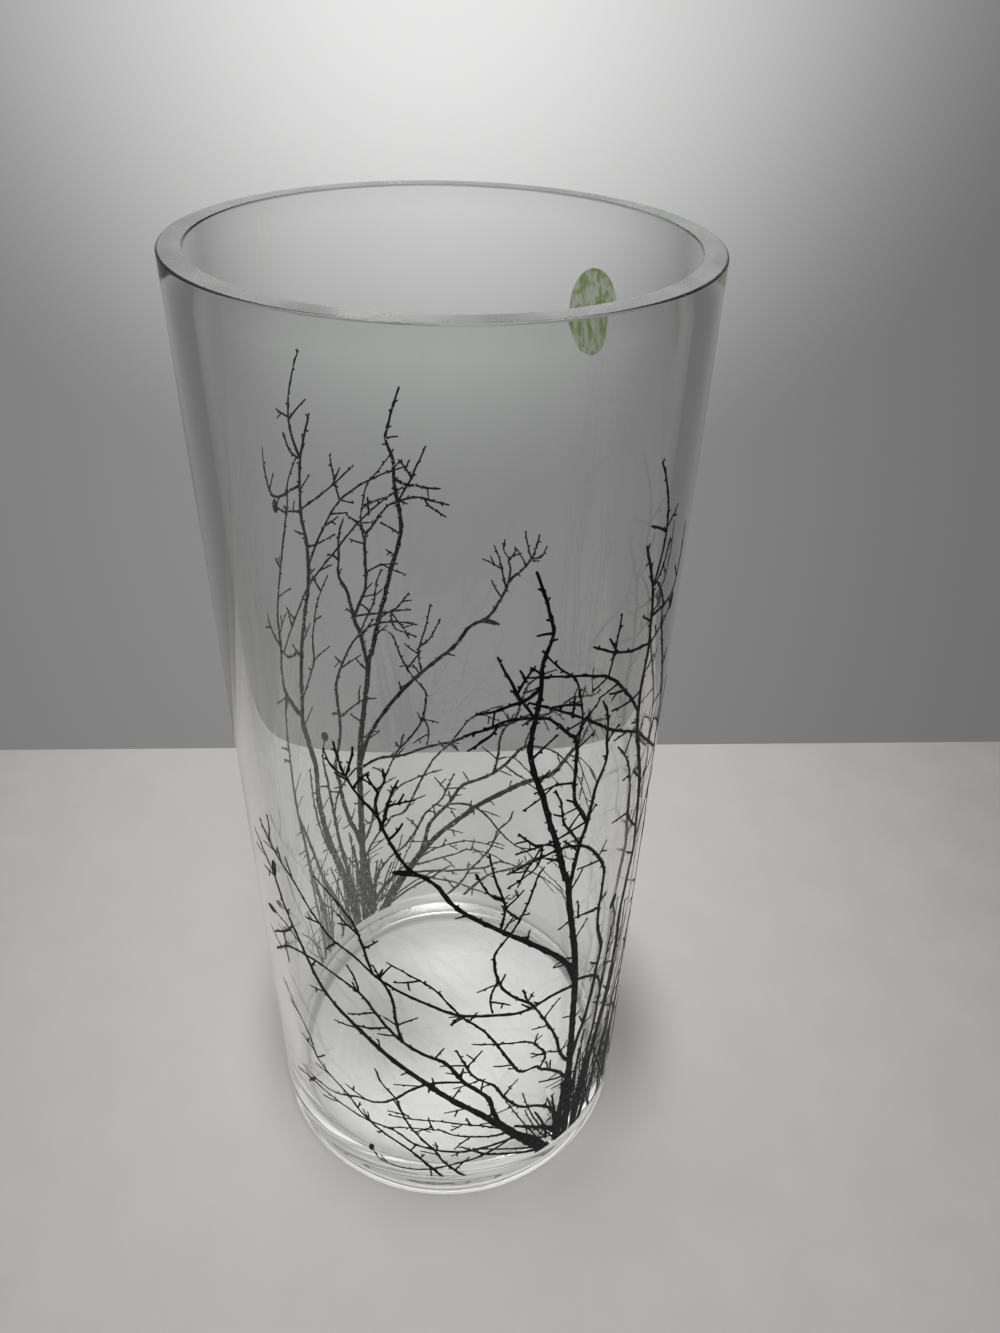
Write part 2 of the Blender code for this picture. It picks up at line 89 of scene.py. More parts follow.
# How the second print lies on the wall: its turn and rise, and its width and height against the first
COPY_TURN = 176.0
COPY_RISE = 5.8
COPY_SPREAD = 1.06
COPY_STRETCH = 0.958

# The label: how far it stands off the wall, its size laid flat, its mesh, and its place on the wall
LABEL_ABOVE = 0.12 * MM
LABEL_WIDTH = 17.5
LABEL_LENGTH = 23.5
LABEL_RINGS = 12
LABEL_SIDES = 96
LABEL_TURN = 137.0
LABEL_HEIGHT = 275.0

# How a stem thins, wavers and swells. The last two values of a wave set which part of the noise it is
# read from: how far apart those of two stems are, and the layer
ROUTE_STEP = 0.9
TAPER = 0.9
WAVER_REACH = 0.16
WAVER_LENGTH = 5.0
WAVER_APART = 7.3
WAVER_LAYER = 0.5
SWELL_REACH = 0.22
SWELL_LENGTH = 1.6
SWELL_APART = 3.1
SWELL_LAYER = 9.5
KNOT_SPACING = (2.6, 8.0)
KNOT_SIZE = (0.18, 0.42)
KNOT_LENGTH = 0.7
TIP_SIDES = 4

# The main twigs stand where the frame's twigs do, by the same draws
TWIG_SEED = 21
TWIG_FIRST = (8.0, 18.0)
TWIG_SPACING = (20.0, 38.0)
TWIG_LENGTH = (3.5, 9.0)
TWIG_LEAN = (35.0, 65.0)
TWIG_WIDTH = 0.85
TWIG_TIP = 0.55
TWIG_LOWEST = 45.0
TWIG_END_MARGIN = 5.0
TWIG_BEND = (-22.0, 22.0)
TWIG_STEPS = 5
TWIG_SUNK = 0.5

# Smaller side twigs, which stand further apart high up, their forks, and the buds along every stem. Only
# a twig some times as long as the shortest side twig forks, and its fork is shorter and narrower than it
FINE_SEED = 5
SIDE_SPACING = (7.0, 20.0)
SPARSE_ABOVE = 80.0
SPARSE_SPREAD = 2.1
SIDE_END_MARGIN = 6.0
SIDE_LENGTH = (1.6, 9.0)
SIDE_LEAN = (32.0, 80.0)
SIDE_WIDTH = 0.72
SIDE_TIP = 0.5
FORK_CHANCE = 0.3
FORK_SHARE = (0.35, 0.7)
FORK_LEAST = 1.6
FORK_REACH = 0.9
FORK_WIDTH = 0.85
BUD_SPACING = (1.8, 6.0)
BUD_LENGTH = (0.2, 0.8)
BUD_LEAN = (35.0, 90.0)
BUD_WIDTH = 0.85
BUD_TIP = 0.5
BUD_SUNK = 0.25

# Short shoots that fan out of the roots: their count, the turns where their feet stand, the turn of the
# fan's middle, and how many degrees a shoot leans for each degree that its foot is off the middle
SHOOT_GROUPS = (
    (24, (29.0, 48.0), 40.0, 2.4),
    (18, (48.0, 67.0), 57.0, 1.3),
)
SHOOT_HEIGHT = (13.0, 27.0)
SHOOT_LENGTH = (14.0, 50.0)
SHOOT_SCATTER = 19.0
SHOOT_LEAN = 52.0
SHOOT_WIDTH = (0.6, 1.2)
SHOOT_TIP = 0.6

# Each stem: width at the root and at the tip in millimetres, then its route as (turn, height)
STEMS = {
    # The clump that all stems rise from
    "clump_left": (3.4, 1.4, ((36.6, 11), (36.4, 32), (37.8, 56))),
    "clump_right": (3.0, 1.2, ((43, 11), (43.6, 30), (45.4, 46), (48, 62))),
    "clump_spur": (1.8, 0.8, ((40, 24), (41.4, 46), (42.4, 62))),
    "clump_left_spur": (1.8, 0.7, ((36, 14), (34.4, 32), (32.5, 46))),
    # The tallest stem left of the middle, with its forks
    "trunk": (3.4, 0.7, (
        (39.8, 14), (38.5, 60), (37.9, 80), (37.1, 102), (35.1, 121), (32.3, 139), (31, 150),
        (28.8, 157.5), (26.5, 168), (23.8, 178), (21.4, 188), (19.3, 195), (17.9, 203), (18.5, 211),
        (19.6, 220), (19.5, 228), (21.5, 236), (20.2, 242), (19, 247), (17.1, 252.5))),
    "trunk_fork": (1.6, 0.6, (
        (31.3, 148), (33.4, 164), (35.1, 170.5), (36.8, 182.5), (39.4, 190), (38.7, 198),
        (38.3, 205), (36.2, 211))),
    "left_reach": (1.3, 0.6, (
        (35.2, 170), (33.4, 175), (30.8, 180.6), (30, 187), (29.6, 200.6), (27.2, 205),
        (23.8, 209.5), (20.5, 212.5), (12.6, 213.8), (8, 212), (3.3, 210.4))),
    "left_reach_twig": (0.8, 0.5, ((10.6, 213.2), (9.4, 210.5), (6.9, 208), (4.1, 205.9))),
    "level_left": (1.1, 0.6, ((19.6, 221.5), (16.5, 219), (12.6, 218), (9.7, 217), (5.8, 216.6))),
    "level_left_twig": (0.6, 0.5, ((9.7, 217.3), (9.3, 213))),
    "rise_left": (0.9, 0.6, ((18.6, 212.5), (16.9, 216.2), (14.2, 221.2), (12.5, 225.6), (9.9, 232))),
    "short_rung": (0.8, 0.5, ((30.1, 188), (25, 189.4), (19.5, 189))),
    "short_rung_twig": (0.6, 0.5, ((24.2, 189.4), (20.5, 186.2), (17, 184))),
    "inner_wisp": (0.8, 0.5, ((33.2, 164), (30.5, 170), (27.9, 175), (26.6, 182.5), (24.9, 187.8))),
    "lower_rung": (0.9, 0.5, ((34.6, 171.6), (31.7, 171), (27.2, 170), (22.7, 169.4), (15.9, 169))),
    "lower_rung_twig": (0.7, 0.5, ((22.5, 169.6), (21.5, 162.5), (17.5, 159), (14.2, 156.6))),
    "droop": (0.6, 0.5, (
        (29.9, 200), (30.6, 208.7), (29.4, 215.6), (27.8, 221), (23.8, 225.6), (20.3, 230.5))),
    # The tall stem on the right, with the branches that cross towards the trunk
    "mast": (3.4, 0.8, (
        (43.4, 14), (47.6, 45), (51.8, 65), (55.2, 84), (56.8, 102), (56.2, 115), (58, 127.5),
        (60.2, 140), (59.5, 150), (58.1, 162.5), (56.5, 172.5), (53.7, 183), (51.4, 191.5),
        (50.3, 201), (50.3, 209), (51.2, 217), (50.8, 226), (50, 233), (49.1, 238), (47.4, 243),
        (44.9, 250))),
    "mast_top": (1.0, 0.5, (
        (49.3, 237), (51.4, 243.7), (52.3, 250), (51.9, 255), (50.8, 260), (48.8, 265.6),
        (46.6, 269.8))),
    "mast_top_twig": (0.8, 0.6, ((50, 237.2), (53, 241), (54.7, 247.5))),
    "mast_level": (1.0, 0.5, (
        (50.6, 228.4), (55, 228.2), (59.9, 228.6), (63.3, 232.5), (64.4, 240), (64.4, 247))),
    "leaf_stalk": (0.6, 0.5, ((57, 221.8), (60, 224.6), (61.6, 225.5))),
    "arch": (1.0, 0.5, (
        (50.5, 199), (46.3, 206), (40.7, 213.7), (36.7, 218), (31.7, 220.6), (27.2, 222.5),
        (20.4, 224.4), (15.3, 225.5))),
    "arch_twig": (0.7, 0.5, ((36.9, 217.8), (38.2, 225), (39.1, 234.5))),
    "arch_spur": (0.6, 0.5, ((37, 218), (32.5, 215.6))),
    "crossing": (1.0, 0.6, (
        (66, 175), (62.2, 179.4), (56.5, 185.6), (50.9, 192), (40.7, 199.4), (31.7, 207.5),
        (23.8, 213.7), (17, 218))),
    "mast_rung_high": (0.9, 0.5, ((50.9, 220.2), (44, 221.9), (37.3, 225), (31.7, 228.8))),
    "mast_rung_low": (0.8, 0.5, ((50.2, 206), (45.2, 205.4), (39.5, 206.2))),
    "far_right": (1.6, 0.6, (
        (60, 143), (64.5, 152), (68, 161), (68.4, 169), (67.4, 177), (66.8, 191), (63.4, 203),
        (59.6, 214), (56.5, 223.7), (55.3, 231), (51, 238))),
    "far_right_twig": (0.8, 0.5, ((67.6, 179), (71.5, 188), (73, 195))),
    "far_right_rung": (0.7, 0.6, ((67.4, 177), (63.5, 171.5), (58, 169.5))),
    "outer_right": (2.2, 0.9, (
        (60.2, 11), (60.8, 30), (62, 46), (64.4, 60), (66.6, 74), (68.3, 91), (70.2, 109),
        (70.4, 128), (69.8, 146), (67.8, 160))),
    "outer_low": (2.4, 1.0, (
        (45.4, 12), (48.8, 23), (54.2, 42), (59.4, 59), (63.8, 80), (69, 101))),
    "outer_foot": (1.6, 0.8, ((63.4, 11), (63.8, 25), (65.4, 49), (66.4, 62), (67.6, 78))),
    "outer_wisp": (1.2, 0.8, ((57.6, 11), (58, 25), (56.6, 40), (58.6, 54))),
    "inner_right": (1.1, 0.6, ((51, 61), (55.5, 75), (58.4, 91), (59.6, 105), (59.4, 118))),
    "right_curl": (0.9, 0.5, (
        (59.6, 150), (54.8, 156), (52, 162.5), (51.8, 168.7), (50.9, 175), (48.9, 182),
        (46.4, 187.5), (43.5, 192))),
    "bud_stem": (2.2, 0.6, (
        (44, 26), (46, 50), (48.4, 68), (49.8, 84), (51.2, 102.5), (52.4, 117.5), (51, 125))),
    # The bent stem between trunk and mast
    "bent_stem": (2.0, 0.6, (
        (39, 60), (40.8, 70), (43, 77.5), (45.3, 90), (46, 100), (47, 110), (44.4, 120),
        (43.6, 130), (44, 143.7), (43, 148.7), (39.6, 156), (35.1, 162), (28.3, 165.6),
        (19.9, 164.4), (13.9, 162))),
    "bent_stem_rung": (0.9, 0.5, ((43.7, 130.6), (39.5, 132), (34.5, 133.7), (29, 132.5))),
    "trunk_brace": (1.1, 0.8, ((37.3, 103), (40.2, 101.6), (45.6, 97), (49, 90), (50.4, 81))),
    # The long branch that climbs from the trunk to the upper left
    "climber": (2.0, 0.6, (
        (36.9, 103), (32.8, 115), (27.2, 123.7), (21.6, 130.6), (14.2, 138.7), (6.9, 146),
        (0.7, 153), (-3.2, 160.6), (-8.5, 165), (-11.9, 170.6), (-14.7, 178), (-16.1, 183),
        (-19.8, 188), (-23.2, 194), (-24.9, 200), (-25.4, 204))),
    "climber_left": (0.8, 0.5, ((-22.8, 193.6), (-26.6, 196), (-28.3, 200.6))),
    "climber_right": (0.7, 0.5, ((-23.1, 193.8), (-21.5, 200), (-20.9, 204))),
    "climber_comb": (0.8, 0.5, ((-16, 182.5), (-16.3, 188), (-15.8, 192), (-19.6, 195))),
    "climber_comb_tip": (0.6, 0.5, ((-15.9, 191.6), (-13.9, 195), (-14.2, 199))),
    "climber_wand": (0.8, 0.5, ((-15.2, 179), (-12.7, 190.6), (-10.8, 196))),
    "thread": (1.3, 0.6, (
        (38, 60), (34, 68.7), (32.3, 77.5), (29.5, 86), (25, 97.5), (21.6, 104.4), (19.9, 111))),
    "thread_left": (1.0, 0.5, (
        (22, 103.6), (15.9, 111), (12.6, 118.7), (11.4, 127.5), (12, 132), (16.5, 140),
        (19.5, 148.7), (21.6, 157.5), (23.5, 161))),
    "thread_down": (0.8, 0.5, ((12.7, 118.6), (10.8, 111), (11.4, 104))),
    "hook": (0.8, 0.5, ((12.7, 140), (13.7, 150), (11.4, 158.7), (10.3, 165), (9.4, 170.6))),
    "hook_twig": (0.6, 0.5, ((13.5, 151.5), (9.7, 155.6), (6.3, 163.7))),
    # The branches that sweep to the left
    "high_sweep": (1.4, 0.6, (
        (37.4, 101), (29.5, 102.5), (19.9, 100.6), (12.6, 102.5), (2.4, 105), (-5.5, 110),
        (-17.6, 117.5), (-24.9, 125), (-31.7, 128.7), (-37.3, 135.6), (-42.9, 143.7),
        (-48.6, 148.7), (-53, 152.5), (-56.5, 157.5))),
    "high_sweep_tip": (0.7, 0.5, ((-52.6, 152.2), (-51.4, 158), (-51.4, 163))),
    "high_sweep_rise": (1.0, 0.5, (
        (-20.2, 120.4), (-22.6, 132.5), (-24.3, 139), (-26.6, 143), (-30, 147), (-35, 152))),
    "middle_sweep": (1.8, 0.6, (
        (18.4, 37), (15.4, 42.5), (13, 50), (11.4, 58.7), (8, 65), (4.4, 70), (-1.2, 81),
        (-6.8, 85), (-12.5, 90), (-17, 96), (-20.4, 102.5), (-24.3, 108.7), (-30.5, 112),
        (-37.3, 113.7), (-45.2, 112), (-50.8, 108.7), (-58.7, 98.7))),
    "middle_sweep_tie": (0.9, 0.8, ((-17.2, 95.6), (-22, 93.2), (-27, 91.8))),
    "middle_sweep_comb": (0.7, 0.5, ((-20.2, 101.8), (-24.5, 98.7), (-28.5, 96))),
    "middle_sweep_wand": (0.7, 0.5, ((-24.4, 108.6), (-25.5, 115), (-27.6, 119.5))),
    "middle_sweep_rise": (1.0, 0.8, (
        (-12.6, 90), (-14.2, 98.7), (-14.7, 107.5), (-16.4, 115), (-19, 119.4))),
    "low_sweep": (3.2, 0.7, (
        (33, 11), (25, 25), (19.9, 33.7), (14.8, 42.5), (6.9, 53.7), (-1, 63), (-6.6, 70),
        (-13.6, 77.5), (-20.4, 85), (-27.1, 92), (-33.9, 98.7), (-38.4, 105), (-40.7, 110),
        (-44, 117.5), (-49.7, 130), (-52, 137.5), (-56.5, 143.7), (-62, 148.7))),
    "low_sweep_root": (5.4, 2.4, ((33, 11), (25.5, 25), (19.4, 34.5), (14.2, 44))),
    "low_sweep_side": (2.6, 1.0, ((38.5, 14), (32.6, 26), (27.2, 32), (20, 38.5))),
    "low_sweep_drop": (0.9, 0.6, ((-46.2, 122.4), (-50.3, 116), (-58.2, 107.5))),
    "low_sweep_stalk": (0.7, 0.5, ((-43.8, 116.8), (-50, 119.8), (-56, 120))),
    "low_sweep_under": (1.1, 0.5, (
        (3.9, 70.6), (-2.3, 71), (-6.9, 69.2), (-11.3, 65), (-15.9, 58.7), (-21.5, 53.7),
        (-28.3, 52), (-36, 47), (-43, 45.6), (-52, 45))),
    "under_twig": (0.8, 0.5, ((-15.6, 59), (-19.8, 66), (-21.5, 72.5))),
    "veil": (1.2, 0.5, (
        (38.6, 50), (32.8, 60), (27.2, 66), (25.5, 68.7), (20.5, 69.4), (17, 77.5), (13.7, 86),
        (9.2, 96), (3.5, 103.7), (0, 110), (-3.2, 116), (-6.6, 120), (-15.9, 126.5))),
    "veil_twig": (0.9, 0.5, (
        (26.8, 66.2), (28.4, 72.5), (26, 78.7), (22.7, 83.7), (16, 87), (6.3, 90))),
    "shade": (1.5, 0.6, (
        (38, 20), (33, 37), (27.2, 45), (21, 49.4), (15.9, 58), (12.6, 66), (6.9, 73),
        (4.7, 78.7), (1.8, 87.5))),
    # The stems low on the left, near the base
    "base_riser": (1.2, 0.5, (
        (-1, 12), (-8, 23.7), (-13.6, 31), (-22.6, 38.7), (-28.3, 45), (-31.7, 50.6), (-37.3, 55),
        (-43, 60), (-45.7, 70), (-53, 81), (-57, 86))),
    "base_level": (1.3, 0.5, (
        (21, 32), (10, 30.5), (2.2, 30), (-5.7, 32), (-11.3, 34.4), (-17, 40), (-26, 40.8),
        (-36, 42.5), (-47, 42.5), (-56, 38))),
    "base_thread": (1.1, 0.6, (
        (7.5, 11), (2.2, 17.5), (-2.3, 25), (-4.6, 31), (-9, 38.7), (-13, 47.5), (-15.6, 59.5))),
    "base_brace": (1.4, 0.7, ((30, 15.5), (18.2, 22.5), (10.3, 27), (3.5, 33))),
    "base_runner": (1.1, 0.5, (
        (17.6, 31), (9.2, 25.5), (1.3, 22.5), (-8, 18.5), (-16, 17.3), (-22, 18.8), (-24.4, 23))),
    "base_high_arc": (0.8, 0.5, ((16.5, 39), (9, 44.4), (-2, 48.7), (-10, 48.8), (-18, 48.2))),
    "base_arc": (0.9, 0.5, (
        (16.5, 36), (11.4, 37), (1.3, 40.5), (-3.2, 43.7), (-12, 43.2), (-19, 40.6))),
}

# The few oval leaves and buds: turn, height, length, width and tilt from upright in degrees
LEAVES = (
    (-10.8, 164.0, 6.0, 2.0, 80),
    (-52.0, 141.8, 7.0, 2.6, 10),
    (-57.6, 118.9, 6.0, 2.6, 70),
    (50.6, 126.6, 5.6, 2.8, 24),
    (61.6, 226.5, 5.0, 2.6, 10),
    (-24.8, 24.4, 4.4, 2.0, 12),
)
LEAF_SIDES = 24

# How the outlines are fused: points nearer than this become one, and the cells of the lookup grid
MERGE_DISTANCE = 0.002
LOOKUP_CELL = 1.5

# The materials. A noise is given by its scale, and then by its detail, roughness and stretch where they
# aren't the usual ones. A range is given by the ends that it maps from, and those that it maps to where
# they aren't nought and one

# The clear glass
GLASS_IOR = 1.5
GLASS_SPECULAR = 0.28
GLASS_TINTS = ((0.978, 0.99, 0.983), (0.983, 0.994, 0.987))
TINT_NOISE = (12.0,)
SMEAR_NOISE = (60.0, 4.0, 0.5, (1.0, 1.0, 0.35))
SMEAR_ROUGHNESS = (0.55, 0.8, 0.0, 0.012)
SURFACE_NOISE = (14.0, 1.0, 0.5, (1.0, 1.0, 0.5))
SURFACE_BUMP = 0.06 * MM

# The ground rim
RIM_GRAIN = (260.0, 5.0, 0.6)
RIM_ROUGHNESS = (0.35, 0.75, 0.26, 0.38)
RIM_BUMP = 0.004 * MM
RIM_BLOTCHES = (70.0,)
RIM_CLEARNESS = (0.35, 0.65, 0.72, 0.6)
RIM_COLOUR = (0.93, 0.945, 0.935)
SCRATCH_NOISE = (1300.0, 1.0, 0.5, (1.0, 0.3, 1.0))
SCRATCH_RANGE = (0.74, 0.8)
SCRATCH_CLEARNESS = -0.4
SCRATCH_COLOUR = (1.0, 1.0, 1.0)

# The enamel with its pores, and its side bonded to the glass with its specks
ENAMEL_SPECULAR = 0.08
ENAMEL_GRAIN = (700.0, 4.0)
ENAMEL_ROUGHNESS = (0.3, 0.7, 0.35, 0.6)
ENAMEL_BUMP = 0.01 * MM
ENAMEL_COLOUR = (0.005, 0.005, 0.0055)
PORE_NOISE = (1500.0, 2.0)
PORE_RANGE = (0.64, 0.74)
PORE_COLOUR = (0.16, 0.16, 0.16)
BOND_ROUGHNESS = 0.6
BOND_COLOUR = (0.006, 0.006, 0.0065)
SPECK_NOISE = (1000.0, 1.0)
SPECK_RANGE = (0.62, 0.72)
SPECK_COLOUR = (0.4, 0.4, 0.4)

# The label's paper
PAPER_IOR = 1.45
PAPER_TRANSMISSION = 0.72
PAPER_GREEN = (0.5, 0.68, 0.24)
PAPER_PALE = (0.98, 1.0, 0.93)
MOTTLE_NOISE = (620.0, 4.0, 0.65, (1.0, 1.0, 0.55))
MOTTLE_RANGE = (0.42, 0.54)
FIBRE_NOISE = (2500.0, 4.0)
FIBRE_ROUGHNESS = (0.3, 0.7, 0.6, 0.8)
FIBRE_BUMP = 0.01 * MM

# The camera that took the view: focal length and frame in pixels, place in metres, angles in radians
FRAME_HEIGHT = 1333
SENSOR = 36.0
FOCAL_PIXELS = 1018.4
CAMERA_BACK = 3.849 * OUTER_RADIUS
CAMERA_HEIGHT = 5.688 * OUTER_RADIUS
CAMERA_PITCH = 0.62538
CAMERA_YAW = 0.063075
CAMERA_ROLL = 0.032665
CLIP_START = 0.01

# The studio
LIGHT_BOUNCES = 64
STAGE_HALF_WIDTH = 3.0
STAGE_FRONT = -3.0
STAGE_EDGE = 0.181
STAGE_DROP = 0.2 * MM
SKY_COLOUR = (1.0, 1.0, 0.995)
SKY_BASE = 0.145
# Soft patches of light in the sky: strength, direction of the middle, reach along each axis
SKY_PATCHES = (
    (0.6, (-0.005, 1.0, 0.01), (0.52, 1.4, 0.48)),
    (0.12, (-0.06, 1.0, -0.42), (0.72, 1.4, 0.9)),
    (1.46, (-0.12, 0.1, 0.98), (1.1, 1.1, 1.1)),
    (4.0, (0.1, -0.74, 0.66), (0.5, 0.5, 0.5)),
)
# The floor, with painted light and shade: dark far off, pale in a painted pool of light round the vase,
# and in painted shade in a patch in front of the view
FLOOR_PAINTED_DIM = (0.228, 0.222, 0.219)
FLOOR_PAINTED_LIT = (0.62, 0.605, 0.597)
FLOOR_LIGHT_POOL = ((0.0, 0.139, 0.0), (0.434, 0.743, 1.0))
FLOOR_GRAIN = (40.0, 6.0)
GRAIN_RANGE = (0.35, 0.75, 0.0, 0.05)
FLOOR_SHADE = (0.11, 0.107, 0.105)
SHADE_PATCH = ((0.0, -0.75, 0.0), (1.3, 0.65, 1.0))
SHADE_RANGE = (0.0, 0.16)
FLOOR_ROUGHNESS = 0.7
FLOOR_SPECULAR = 0.2
# The soft shadow round the foot: strength at the middle, middle and reach of each patch
FOOT_SHADOW = (0.27, 0.265, 0.26)
FOOT_PATCHES = (
    (1.0, (0.062, 0.012, 0.0), (0.038, 0.064, 1.0)),
    (0.5, (-0.062, 0.02, 0.0), (0.026, 0.06, 1.0)),
    (0.9, (0.0, 0.0, 0.0), (0.085, 0.085, 1.0)),
)
# A painted pool of light in white right under the foot, with a painted soft shade left of its middle.
# The same white flecks the floor's grain
GRAIN_FLECK_AND_FOOT_LIGHT = (0.99, 0.955, 0.955)
FOOT_LIGHT_PATCH = ((0.0, 0.0, 0.0), (0.062, 0.062, 1.0))
FOOT_LIGHT_RANGE = (0.0, 0.02)
UNDER_SHADE = (0.5, 0.485, 0.48)
UNDER_PATCH = (0.85, (-0.025, 0.006, 0.0), (0.045, 0.04, 1.0))


def link(thing):
    bpy.context.scene.collection.objects.link(thing)
    return thing


def mesh_piece(name, points, faces, smooth=False):
    mesh = bpy.data.meshes.new(name)
    mesh.from_pydata([tuple(point) for point in points], [], faces)
    mesh.update()
    if smooth:
        mesh.shade_smooth()
    return link(bpy.data.objects.new(name, mesh))


def finish_piece(piece, node, materials):
    for material in materials:
        piece.data.materials.append(material)
    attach(piece, "root")
    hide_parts(node)


# Materials

def new_material(name):
    material = bpy.data.materials.new(name)
    material.use_nodes = True
    tree = material.node_tree
    return material, tree, tree.nodes["Principled BSDF"]


def noise_node(tree, scale, detail=3.0, roughness=0.5, stretch=(1.0, 1.0, 1.0)):
    """A noise texture in object space, stretched along the axes."""
    place = tree.nodes.new("ShaderNodeTexCoord")
    mapping = tree.nodes.new("ShaderNodeMapping")
    mapping.inputs["Scale"].default_value = stretch
    texture = tree.nodes.new("ShaderNodeTexNoise")
    texture.inputs["Scale"].default_value = scale
    texture.inputs["Detail"].default_value = detail
    texture.inputs["Roughness"].default_value = roughness
    tree.links.new(place.outputs["Object"], mapping.inputs["Vector"])
    tree.links.new(mapping.outputs["Vector"], texture.inputs["Vector"])
    return texture.outputs["Fac"]


def range_node(tree, value, low, high, to_low=0.0, to_high=1.0):
    """Maps a value from one range to another, and clamps it."""
    mapped = tree.nodes.new("ShaderNodeMapRange")
    mapped.inputs["From Min"].default_value = low
    mapped.inputs["From Max"].default_value = high
    mapped.inputs["To Min"].default_value = to_low
    mapped.inputs["To Max"].default_value = to_high
    tree.links.new(value, mapped.inputs["Value"])
    return mapped.outputs["Result"]


def mix_node(tree, share, first, second):
    """A colour between two, or between a colour and another node's colour."""
    mixed = tree.nodes.new("ShaderNodeMix")
    mixed.data_type = "RGBA"
    tree.links.new(share, mixed.inputs["Factor"])
    for name, colour in (("A", first), ("B", second)):
        socket = [entry for entry in mixed.inputs if entry.name == name and entry.type == "RGBA"][0]
        if isinstance(colour, tuple):
            socket.default_value = (*colour, 1.0)
        else:
            tree.links.new(colour, socket)
    return [entry for entry in mixed.outputs if entry.type == "RGBA"][0]


def dome_node(tree, place, middle, reach):
    """A soft patch round a place: one at its middle, and none beyond its reach."""
    mapping = tree.nodes.new("ShaderNodeMapping")
    mapping.inputs["Scale"].default_value = [1 / size for size in reach]
    mapping.inputs["Location"].default_value = [-at / size for at, size in zip(middle, reach)]
    squared = tree.nodes.new("ShaderNodeVectorMath")
    squared.operation = "DOT_PRODUCT"
    tree.links.new(place, mapping.inputs["Vector"])
    tree.links.new(mapping.outputs["Vector"], squared.inputs[0])
    tree.links.new(mapping.outputs["Vector"], squared.inputs[1])
    dome = range_node(tree, squared.outputs["Value"], 0.0, 1.0, 1.0, 0.0)
    return math_node(tree, "MULTIPLY", dome, dome)


def math_node(tree, operation, *values):
    """A sum or product of values and other nodes' values."""
    result = tree.nodes.new("ShaderNodeMath")
    result.operation = operation
    for socket, value in zip(result.inputs, values):
        if isinstance(value, float):
            socket.default_value = value
        else:
            tree.links.new(value, socket)
    return result.outputs["Value"]


def bump_node(tree, height, distance):
    bump = tree.nodes.new("ShaderNodeBump")
    bump.inputs["Distance"].default_value = distance
    tree.links.new(height, bump.inputs["Height"])
    return bump.outputs["Normal"]


def patch_node(tree, place, strength, middle, reach):
    """A soft patch round a place, of a strength at its middle."""
    return math_node(tree, "MULTIPLY", dome_node(tree, place, middle, reach), strength)


def glass_material():
    """Polished clear glass with a faint grey-green body and the least unevenness of its surface."""
    material, tree, shader = new_material("clear_glass")
    shader.inputs["Transmission Weight"].default_value = 1.0
    shader.inputs["IOR"].default_value = GLASS_IOR
    shader.inputs["Specular IOR Level"].default_value = GLASS_SPECULAR
    smears = noise_node(tree, *SMEAR_NOISE)
    tree.links.new(range_node(tree, smears, *SMEAR_ROUGHNESS), shader.inputs["Roughness"])
    tint = mix_node(tree, noise_node(tree, *TINT_NOISE), *GLASS_TINTS)
    tree.links.new(tint, shader.inputs["Base Color"])
    waves = noise_node(tree, *SURFACE_NOISE)
    tree.links.new(bump_node(tree, waves, SURFACE_BUMP), shader.inputs["Normal"])
    return material


def rim_material():
    """The rim's top, ground flat: satin glass with soft blotches and a few short pale scratches."""
    material, tree, shader = new_material("ground_rim")
    shader.inputs["IOR"].default_value = GLASS_IOR
    grain = noise_node(tree, *RIM_GRAIN)
    tree.links.new(range_node(tree, grain, *RIM_ROUGHNESS), shader.inputs["Roughness"])
    scratches = range_node(tree, noise_node(tree, *SCRATCH_NOISE), *SCRATCH_RANGE)
    clear = range_node(tree, noise_node(tree, *RIM_BLOTCHES), *RIM_CLEARNESS)
    cloudy = math_node(tree, "MULTIPLY", scratches, SCRATCH_CLEARNESS)
    tree.links.new(math_node(tree, "ADD", clear, cloudy), shader.inputs["Transmission Weight"])
    tree.links.new(mix_node(tree, scratches, RIM_COLOUR, SCRATCH_COLOUR), shader.inputs["Base Color"])
    tree.links.new(bump_node(tree, grain, RIM_BUMP), shader.inputs["Normal"])
    return material


def enamel_material():
    """Black fired enamel: semi-matt, with a faint grain and small worn pinholes."""
    material, tree, shader = new_material("black_enamel")
    shader.inputs["Specular IOR Level"].default_value = ENAMEL_SPECULAR
    grain = noise_node(tree, *ENAMEL_GRAIN)
    tree.links.new(range_node(tree, grain, *ENAMEL_ROUGHNESS), shader.inputs["Roughness"])
    pores = range_node(tree, noise_node(tree, *PORE_NOISE), *PORE_RANGE)
    tree.links.new(mix_node(tree, pores, ENAMEL_COLOUR, PORE_COLOUR), shader.inputs["Base Color"])
    tree.links.new(bump_node(tree, grain, ENAMEL_BUMP), shader.inputs["Normal"])
    return material


def bond_material():
    """The enamel where it is fused to the glass, seen through the wall: black with pale specks."""
    material, tree, shader = new_material("bonded_enamel")
    shader.inputs["Specular IOR Level"].default_value = ENAMEL_SPECULAR
    shader.inputs["Roughness"].default_value = BOND_ROUGHNESS
    specks = range_node(tree, noise_node(tree, *SPECK_NOISE), *SPECK_RANGE)
    tree.links.new(mix_node(tree, specks, BOND_COLOUR, SPECK_COLOUR), shader.inputs["Base Color"])
    return material


